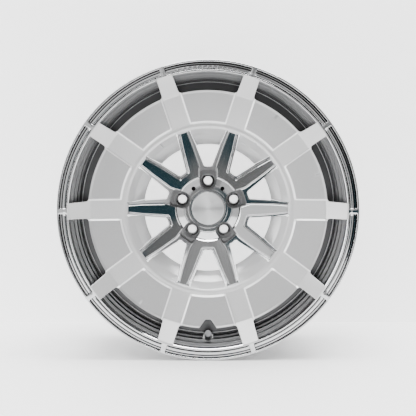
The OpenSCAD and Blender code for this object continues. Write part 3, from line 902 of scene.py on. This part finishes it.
# Mesh lines: radii on both sides of each corner of the two profiles, then wider steps along the spokes.
CENTRE_ROWS = (
    28.0, 28.1, 28.2, 30.8, 31.0, 31.2, 31.4, 31.6, 33.5, 35.8, 36.0, 36.7, 36.9, 40.0, 42.9, 43.1, 43.5,
    43.7, 44.2, 44.4, 44.8, 45.0, 49.0, 53.0, 57.2, 57.4, 58.2, 59.0, 59.8, 60.6, 60.9, 62.0, 66.0, 69.0,
    70.0, 74.0, 78, 82, 90, 100, 110, 119, 130, 140, 146.5, 165, 185, 204.3, 204.5, 215, 226,
)
LUG_ROWS = (8.2, 12.4, 12.6, 13.4, 13.6, 14.2, 14.6, 14.8, 15.1, 15.3, 15.5, 15.9)

WINDOW = window_chain()
FACE = face_chain()
POCKET = pocket_chain()
FACE_OUTLINE = FACE + [on_circle(PAD_R, VEE_TURN + 3)] + arc(BAND_R - 3, VEE_TURN + 3, 16.2, 12)
POCKET_OUTLINE = POCKET + [(LUG_MOUTH_R, -2.0), (LUG_R, -2.0)]


def signed_distance(xy, chain, outline):
    """Distance outside a chain, negative within its outline."""
    d = distance_to(xy, chain)
    return np.where(inside_polygon(xy, outline), -d, d)


def spoke_sides(xy, height):
    """The height of the face, grooved and stepped down towards the windows."""
    e = signed_distance(xy, FACE, FACE_OUTLINE)
    w = distance_to(xy, WINDOW)
    c, s = cos_sin(SPOKE_TURN)
    vee_side = -xy[:, 0] * s + xy[:, 1] * c > 0
    z = height - np.where(vee_side, np.interp(e, *zip(*VEE_SIDE)), np.interp(e, *zip(*LUG_SIDE)))
    fallen = np.where(vee_side, np.interp(e, VEE_FALL, (0, 1)), np.interp(e, LUG_FALL, (0, 1)))
    z = z + (np.minimum(z, LEDGE_Z) - z) * fallen
    z = z + (LOW_LEDGE_Z - z) * np.interp(w, WINDOW_FALL, (1, 0))
    z = np.where(w < 0.02, WINDOW_FOOT_Z, z)
    return np.where(e < 0, height, z)


def centre_top(xy, drilled):
    x, y = xy[:, 0], xy[:, 1]
    r = np.hypot(x, y)
    z = hub_line(r)
    z = np.where(r > BAND_R + 1.0, spoke_sides(xy, z), z)
    from_lug = np.hypot(x - LUG_R, y)
    in_pocket = inside_polygon(xy, POCKET_OUTLINE) | (from_lug < LUG_POCKET_R)
    depth = np.where(x < LUG_R, LUG_POCKET_R - from_lug, distance_to(xy, POCKET))
    wall = hub_line(r) - np.interp(depth, (0.0, 0.7, 0.9, 1.3), (0.0, 0.8, 13.0, 20.0))
    floor = np.interp(from_lug, (12.4, 12.6, 13.4, 13.6, 15.1, 15.3),
                      (4.0, LUG_FLOOR, LUG_FLOOR, LUG_FLOOR + 4, LUG_FLOOR + 4, LUG_FLOOR + 8))
    z = np.where(in_pocket, np.minimum(z, np.maximum(floor, wall)), z)
    if drilled:
        sx, sy = on_circle(TAP_CIRCLE_R, VEE_TURN)
        z = np.where(np.hypot(x - sx, y - sy) < TAP_R, TAP_FLOOR_Z, z)
    return z


def centre_bottom(xy):
    """The back, with a recess for each disc screw's head and a lightening pocket between the lug holes."""
    x, y = xy[:, 0], xy[:, 1]
    z = centre_under(np.hypot(x, y))
    sx, sy = spoke_point(SCREW_R, 0)
    z = np.where(np.hypot(x - sx, y - sy) < 5.0, 30.0, z)
    vx, vy = on_circle(LUG_R, VEE_TURN)
    return np.where(np.hypot(x - vx, y - vy) < 8.0, 9.0, z)


def centre_lines(drilled):
    lug = (LUG_R, 0.0)
    lines = [arc(r, 0.0, VEE_TURN, 30) for r in CENTRE_ROWS]
    lines += [arc(r, 180, 0, 36, lug) for r in LUG_ROWS]
    steps = sorted({d for d, _ in LUG_SIDE + VEE_SIDE} | set(LUG_FALL + VEE_FALL))
    lines += [shifted(FACE, d) for d in steps] + [shifted(FACE, -0.6)]
    lines += [shifted(POCKET, d) for d in (1.3, 0.9, 0.7, 0.0, -0.4, -1.0)]
    lines += [shifted(WINDOW, -d) for d in (0.4, *WINDOW_FALL)]
    lines += [arc(r, 0, 360, 24, spoke_point(SCREW_R, 0)) for r in (4.95, 5.05)]
    lines += [arc(r, 0, 360, 32, on_circle(LUG_R, VEE_TURN)) for r in (7.95, 8.05)]
    if drilled:
        tap = on_circle(TAP_CIRCLE_R, VEE_TURN)
        lines += [arc(TAP_R + d, 0, 360, 32, tap) for d in (-0.05, 0.05, 0.5)]
    return lines


def centre_half(drilled):
    """From the seam through a lug hole to the seam through a V, with half a spoke pair between them."""
    hole = arc(LUG_HOLE_R, 180, 0, 24, (LUG_R, 0.0))
    bore = arc(27.06, VEE_TURN, 0.0, 30)
    outline = WINDOW + bore + [(LUG_R - LUG_HOLE_R, 0.0)] + hole[1:]
    return cell_mesh(outline, [], centre_lines(drilled), lambda xy: centre_top(xy, drilled), centre_bottom,
                     (0.0, VEE_TURN))


def forged_centre():
    plain, drilled = centre_half(False), centre_half(True)
    parts = []
    for k in range(LUGS):
        turn = 90 + 72 * k
        ahead = drilled if k in (0, 4) else plain
        behind = drilled if k in (0, 1) else plain
        parts += [placed(ahead, turn), placed(behind, turn, True)]
    obj = piece("forged_centre_face", joined(parts), SPOKE_METAL, "wheel", 24.0)
    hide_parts("forged_centre")
    return weighted(obj)


def tapped_threads():
    """Dark threads in the two tapped holes beside the top lug."""
    low, high, pitch = TAP_FLOOR_Z, HUB_H - 3.6, 1.0
    outline = [(0.0, low + 0.4), (TAP_R - 0.6, low + 0.4)]
    z = low + 0.6
    while z < high - pitch:
        outline += [(TAP_R - 0.6, z), (TAP_R - 0.1, z + pitch / 2)]
        z += pitch
    outline += [(TAP_R - 0.1, high), (TAP_R, high), (TAP_R, low), (0.0, low)]
    points, faces = lathe(outline[::-1], 40, closed=False)
    parts = []
    for side in (-1, 1):
        parts.append(placed((points + np.array((TAP_CIRCLE_R, 0, 0)), faces), 90 + side * 36))
    obj = piece("tapped_hole_threads", joined(parts), BLACK_OXIDE, "wheel")
    return obj


# ---------------------------------------------------------------- barrel


def barrel_section():
    """The section from the lip's outer edge, around the tyre side, and back to the lip's inner edge."""
    well = FRONT_Z - 53.3
    drop = 20 * math.tan(math.radians(5))
    inner = BARREL_R - WALL
    steps = [(LIP_IN_R - 1, 74.0), (LIP_IN_R - 5.8, 58.0), (LIP_IN_R - 11, 44.0), (LIP_IN_R - 14.8, 50.0)]
    corners = [
        (RIM_R - 1.7, LIP_Z, 0), (RIM_R, LIP_Z, 1.3), (RIM_R, FRONT_Z + 3.4, 3.0),
        (RIM_R - 2.4, FRONT_Z, 2.0),
        (SEAT_R + 2.4, FRONT_Z, 2.2), (SEAT_R, FRONT_Z - 2.4, 2.0), (SEAT_R - drop, FRONT_Z - 20, 2.0),
        (SEAT_R - 0.4, FRONT_Z - 24, 2.0), (SEAT_R - drop, FRONT_Z - 28, 3.0), (WELL_R, well, 8.0),
        (WELL_R, well - 32, 10.0), (BARREL_R, well - 56, 10.0), (BARREL_R, REAR_Z + 29, 2.0),
        (SEAT_R - 0.4, REAR_Z + 24, 2.0), (SEAT_R - drop, REAR_Z + 20, 2.0), (SEAT_R, REAR_Z + 2.4, 2.0),
        (SEAT_R + 2.4, REAR_Z, 2.2), (RIM_R - 2.4, REAR_Z, 2.0), (RIM_R, REAR_Z - 3.4, 3.0),
        (RIM_R, REAR_LIP_Z, 1.3), (SEAT_R - 2.2, REAR_LIP_Z, 3.0), (SEAT_R - 6.4, REAR_Z, 6.0),
        (inner, REAR_Z + 29, 10.0), (inner, well - 58, 10.0), (WELL_R - WALL, well - 33, 8.0),
        (WELL_R - WALL, FLANGE_Z - FLANGE_WEB, 2.5), (FLANGE_R, FLANGE_Z - FLANGE_WEB, 0.8),
        (FLANGE_R, FLANGE_Z, 0.6),
    ]
    for groove in (FLANGE_R + 3.0, FLANGE_WALL_R - 3.4):
        corners += [(groove - 0.7, FLANGE_Z, 0.2), (groove - 0.7, FLANGE_Z - 1.5, 0.2),
                    (groove + 0.7, FLANGE_Z - 1.5, 0.2), (groove + 0.7, FLANGE_Z, 0.2)]
    corners += [
        (FLANGE_WALL_R, FLANGE_Z, 1.5), (FLANGE_WALL_R, steps[3][1], 0.3),
        (FLANGE_WALL_R + 1.2, steps[3][1], 0.3), (FLANGE_WALL_R + 1.2, steps[2][1], 0.5),
        (steps[2][0], steps[2][1], 1.0), (steps[2][0], steps[1][1], 0.4),
        (steps[1][0], steps[1][1], 0.8), (steps[1][0], steps[0][1] - 2.4, 0.2),
        (steps[1][0] + 1.2, steps[0][1] - 2.4, 0.2), (steps[1][0] + 1.2, steps[0][1], 0.2),
        (steps[0][0], steps[0][1], 0.8), (LIP_IN_R, LIP_Z - 1.6, 0.5), (LIP_IN_R + 1.6, LIP_Z, 0.5),
        (LIP_IN_R + 2.4, LIP_Z, 0),
    ]
    points = [(r, z) for r, z, _ in corners]
    return fillet(points, {i: c[2] for i, c in enumerate(corners) if c[2]}, 4)


def lip_pocket_chain():
    """Half a pocket's outline, from its middle along the inner edge, up its end and back."""
    low = math.degrees(math.asin(LAND_HALF / POCKET_IN_R))
    high = math.degrees(math.asin(LAND_HALF / POCKET_OUT_R))
    inner = arc(POCKET_IN_R, HALF_ARM, low + 0.6, 17) + [on_circle(POCKET_IN_R, low)]
    outer = [on_circle(POCKET_OUT_R, high)] + arc(POCKET_OUT_R, high + 0.6, HALF_ARM, 17)
    points = inner + outer
    corner = len(inner) - 1
    return fillet(points, {corner: 2.0, corner + 1: 2.0}, 6)


def lip_face():
    """The lip's front with its pockets, two grooves along each, and a narrow one beside its inner edge."""
    low_r, high_r = LIP_IN_R + 2.4, RIM_R - 1.7
    steps = SEGMENTS // ARMS // 2
    outline = arc(low_r, 0.0, HALF_ARM, steps) + arc(high_r, HALF_ARM, 0.0, steps)
    past = HALF_ARM + 0.4
    chain = [on_circle(POCKET_IN_R, past)] + lip_pocket_chain() + [on_circle(POCKET_OUT_R, past)]
    pocket_outline = chain + [on_circle(POCKET_OUT_R, HALF_ARM + 2), on_circle(POCKET_IN_R, HALF_ARM + 2)]
    offsets = (-0.25, 0.0, 0.25, 0.55, 0.8, 1.1)
    grooves = (POCKET_OUT_R - 2.1, POCKET_OUT_R - 5.9)
    half_w = 1.0
    lines = [shifted(chain, -d) for d in offsets]
    seam = POCKET_IN_R + 1.4
    cuts = ((grooves[0], half_w), (grooves[1], half_w), (seam, half_w / 2))
    for g, w in cuts:
        lines += [arc(g + side * (w + d), 0.4, past, 18) for side in (-1, 1) for d in (-0.3, 0.0, 0.3)]
    lines += [arc(r, 0.0, past, 18) for r in (258.5, 261.0)]

    def top(xy):
        r = np.hypot(xy[:, 0], xy[:, 1])
        d = distance_to(xy, chain) * np.where(inside_polygon(xy, pocket_outline), 1, -1)
        depth = POCKET_DEPTH * ramp(d, 0.8, 0.25)
        for g, w in cuts:
            near = ramp(w + 0.3 - np.abs(r - g), 0.6, 0.2)
            depth += GROOVE_DEPTH * near * ramp(d - 0.2, 0.6, 0.2)
        return LIP_Z - depth

    half = cell_mesh(outline, [], lines, top, None, ())
    step = 360 / ARMS
    parts = []
    for k in range(ARMS):
        parts += [placed(half, k * step), placed(half, k * step, True)]
    return joined(parts)


def cylinder_on_valve(name, sections):
    """A lathe body about the valve's axis, for cutting or joining."""
    points, faces = lathe(sections, 64)
    return linked(name, welded(name, (on_valve_axis(points), faces), 0.0001))


def on_valve_axis(points):
    """From the valve's own frame to the wheel axis's frame."""
    c, s = cos_sin(VALVE_TILT)
    p = np.asarray(points)
    y = p[:, 1] * c + p[:, 2] * s
    z = -p[:, 1] * s + p[:, 2] * c
    return np.column_stack([p[:, 0], y - VALVE_R, z + VALVE_Z])


def apply_boolean(obj, other, operation):
    modifier = obj.modifiers.new("cut", "BOOLEAN")
    modifier.operation = operation
    modifier.solver = "EXACT"
    modifier.object = other
    bpy.context.view_layer.update()
    graph = bpy.context.evaluated_depsgraph_get()
    data = bpy.data.meshes.new_from_object(obj.evaluated_get(graph))
    obj.modifiers.remove(modifier)
    obj.data = data
    bpy.data.objects.remove(other)


def rim_barrel():
    section = barrel_section()
    shell = lathe(section[::-1], SEGMENTS, closed=False)
    obj = piece("rim_barrel_shell", joined([shell, lip_face()]), LIP_METAL, "wheel", 30.0)
    boss = cylinder_on_valve("boss", [(0.0, -1.0), (11.0, -1.0), (11.0, 12.2), (10.2, 13.0), (0.0, 13.0)])
    apply_boolean(obj, boss, "UNION")
    seat = cylinder_on_valve("seat", [(0.0, -30.0), (10.5, -30.0), (10.5, 0.0), (5.75, 0.0), (5.75, 13.0),
                                      (9.6, 13.0), (9.6, 43.0), (0.0, 43.0)])
    apply_boolean(obj, seat, "DIFFERENCE")
    obj.data.shade_smooth()
    obj.data.set_sharp_from_angle(angle=math.radians(30))
    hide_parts("rim_barrel")
    return obj


def lip_bars():
    """Plain rounded bars that fill the top pocket."""
    count, pitch, width = 13, 2.0, 1.1
    low_r, high_r = POCKET_IN_R + 1.8, POCKET_IN_R + 6.4
    base, height = LIP_Z - POCKET_DEPTH - 0.2, LIP_Z - 0.6
    parts = []
    for k in range(count):
        mid = 90 + (k - (count - 1) / 2) * pitch
        corners = [on_circle(low_r, mid - width / 2), on_circle(low_r, mid + width / 2),
                   on_circle(high_r, mid + width / 2), on_circle(high_r, mid - width / 2)]
        centre = np.mean(corners, 0)
        rings = [(1.0, base), (1.0, height - 0.5), (0.93, height - 0.12), (0.82, height)]
        points = [(*(centre + (np.array(c) - centre) * scale), z) for scale, z in rings for c in corners]
        faces = [(3, 2, 1, 0), (12, 13, 14, 15)]
        for level in range(3):
            for i in range(4):
                j = (i + 1) % 4
                faces.append((4 * level + i, 4 * level + j, 4 * level + 4 + j, 4 * level + 4 + i))
        parts.append((np.array(points), faces))
    obj = piece("lip_bars", joined(parts), LIP_METAL, "wheel")
    return obj


# ---------------------------------------------------------------- small parts from the frame


def finish_nodes():
    """Materials for the CAD pieces that keep their own shape, and eased edges for nine of them."""
    finishes = {
        "disc_inserts": BRASS, "disc_screws": STEEL, "disc_spacers": RUBBER, "rim_bolts": STEEL,
        "rim_washers": STEEL, "pad_inserts": DARK_STEEL, "lug_seats": SEAT_METAL, "cap_face": CAP_METAL,
        "cap_body": PLASTIC, "cap_ring": STEEL, "cap_o_ring": RUBBER, "valve_stem": NICKEL,
        "valve_grommet": RUBBER, "valve_washer": NICKEL, "valve_nut": DARK_STEEL, "valve_core": BRASS,
        "valve_pin": BRASS, "valve_spring": STEEL, "valve_cap": DARK_STEEL, "valve_cap_seal": RUBBER,
    }
    eased = {"disc_screws": 0.3, "rim_bolts": 0.4, "rim_washers": 0.15, "cap_face": 0.3, "valve_nut": 0.5,
             "valve_cap": 0.4, "valve_washer": 0.2, "lug_seats": 0.25, "valve_stem": 0.15}
    for name, material in finishes.items():
        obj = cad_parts[name]
        obj.data.materials.clear()
        obj.data.materials.append(material)
        if name in eased:
            modifier = obj.modifiers.new("ease", "BEVEL")
            modifier.width = eased[name] * MM
            modifier.segments = 2
            modifier.limit_method = "ANGLE"
            modifier.angle_limit = math.radians(40)
            modifier.harden_normals = False


# ---------------------------------------------------------------- studio


def stage_plane(name, corners, material):
    data = bpy.data.meshes.new(name)
    data.from_pydata(corners, [], [(0, 1, 2, 3)])
    data.materials.append(material)
    linked(name, data)


def area_light(name, place, target, size, power):
    data = bpy.data.lights.new(name, "AREA")
    data.shape = "RECTANGLE"
    data.size, data.size_y = size
    data.energy = power
    obj = linked(name, data)
    obj.location = place
    obj.rotation_euler = (Vector(target) - Vector(place)).to_track_quat("-Z", "Y").to_euler()


# Cards that the polished faces mirror: left, right, low and high in metres, colour and strength.
CARD_Y = -8.0
TEAL, GREY, PALE, MIDDLE = (0.014, 0.05, 0.066), (0.19, 0.19, 0.19), (0.3, 0.3, 0.3), (0.42, 0.42, 0.42)
WHITE = (1, 1, 1)
CARDS = {
    "teal_low": (0.45, 1.7, -2.2, -0.52, TEAL, 1.0),
    "teal_card": (0.08, 0.45, -1.1, -0.52, TEAL, 1.0),
    "teal_middle": (-0.28, 0.45, -1.42, -1.1, TEAL, 1.0),
    "dark_low": (-0.75, 0.45, -1.75, -1.42, GREY, 1.0),
    "bright_low": (-1.0, 0.45, -2.8, -1.75, WHITE, 0.9),
    "grey_upper": (-0.3, 0.9, 0.25, 2.4, MIDDLE, 1.0),
    "grey_right": (0.25, 0.9, -0.2, 0.25, MIDDLE, 1.0),
    "dark_left": (-1.0, -0.28, -1.42, -0.95, GREY, 1.0),
    "dark_right": (0.25, 0.9, -0.52, -0.2, GREY, 1.0),
    "grey_middle": (-0.3, 0.25, -0.52, 0.25, MIDDLE, 1.0),
    "grey_centre": (-0.28, 0.08, -1.1, -0.52, PALE, 1.0),
    "bright_left": (-4.0, -0.3, -0.95, 2.4, WHITE, 1.15),
    "bright_low_left": (-4.0, -1.0, -1.7, -0.95, WHITE, 1.0),
    "bright_right": (0.9, 4.0, -0.2, 2.4, WHITE, 0.8),
    "bright_far_right": (1.7, 4.0, -1.7, -0.2, WHITE, 0.8),
}
# Lights: place, target, size in metres, and power in watts.
LIGHTS = {
    "key_box": ((-0.7, -2.0, 2.2), (0.0, -0.1, 0.0), (2.0, 1.0), 50),
    "edge_box": ((0.0, -1.25, 2.3), (0.0, -0.1, 0.0), (2.6, 0.35), 22),
    "side_box": ((-2.3, -0.7, 0.3), (0.0, -0.1, 0.0), (0.7, 1.8), 34),
    "right_box": ((2.3, -0.7, 0.3), (0.0, -0.1, 0.0), (0.5, 1.6), 5),
    "top_box": ((0.3, -0.2, 2.4), (0.3, -0.2, 0.0), (2.2, 1.0), 165),
}


def backdrop():
    side, top_z, front, wall_y, floor_z = 5.0, 4.0, -1.5, 0.31, -RIM_R * MM
    back = [(-side, wall_y, floor_z), (side, wall_y, floor_z)]
    stage_plane("floor", [(-side, front, floor_z), (side, front, floor_z), *back[::-1]],
                studio_surface("floor_paint", (0.92, 0.92, 0.92), 0.5, 0.05))
    stage_plane("wall", [*back, (side, wall_y, top_z), (-side, wall_y, top_z)],
                studio_surface("wall_paint", (0.9, 0.9, 0.9), 0.6, 1.15))


def studio():
    backdrop()
    for name, (left, right, low, high, color, strength) in CARDS.items():
        corners = [(left, CARD_Y, low), (left, CARD_Y, high), (right, CARD_Y, high), (right, CARD_Y, low)]
        stage_plane(name, corners, glowing(name, color, strength))
    for name, (place, target, size, power) in LIGHTS.items():
        area_light(name, place, target, size, power)
    world = bpy.data.worlds.new("studio")
    world.use_nodes = True
    put(world.node_tree.nodes["Background"], Color=(1, 1, 1, 1), Strength=0.14)
    bpy.context.scene.world = world


def camera():
    distance, elevation = 2.6, 5.5
    target = Vector((0.0, -LIP_Z * MM, 0.0062))
    e = math.radians(elevation)
    data = bpy.data.cameras.new("camera")
    data.sensor_width = 36.0
    data.lens = 124.53
    obj = linked("camera", data)
    obj.location = target + Vector((0.0, -distance * math.cos(e), distance * math.sin(e)))
    obj.rotation_euler = (target - obj.location).to_track_quat("-Z", "Y").to_euler()
    bpy.context.scene.camera = obj


camera()
studio()
aero_disc()
disc_bosses()
forged_centre()
tapped_threads()
rim_barrel()
lip_bars()
finish_nodes()
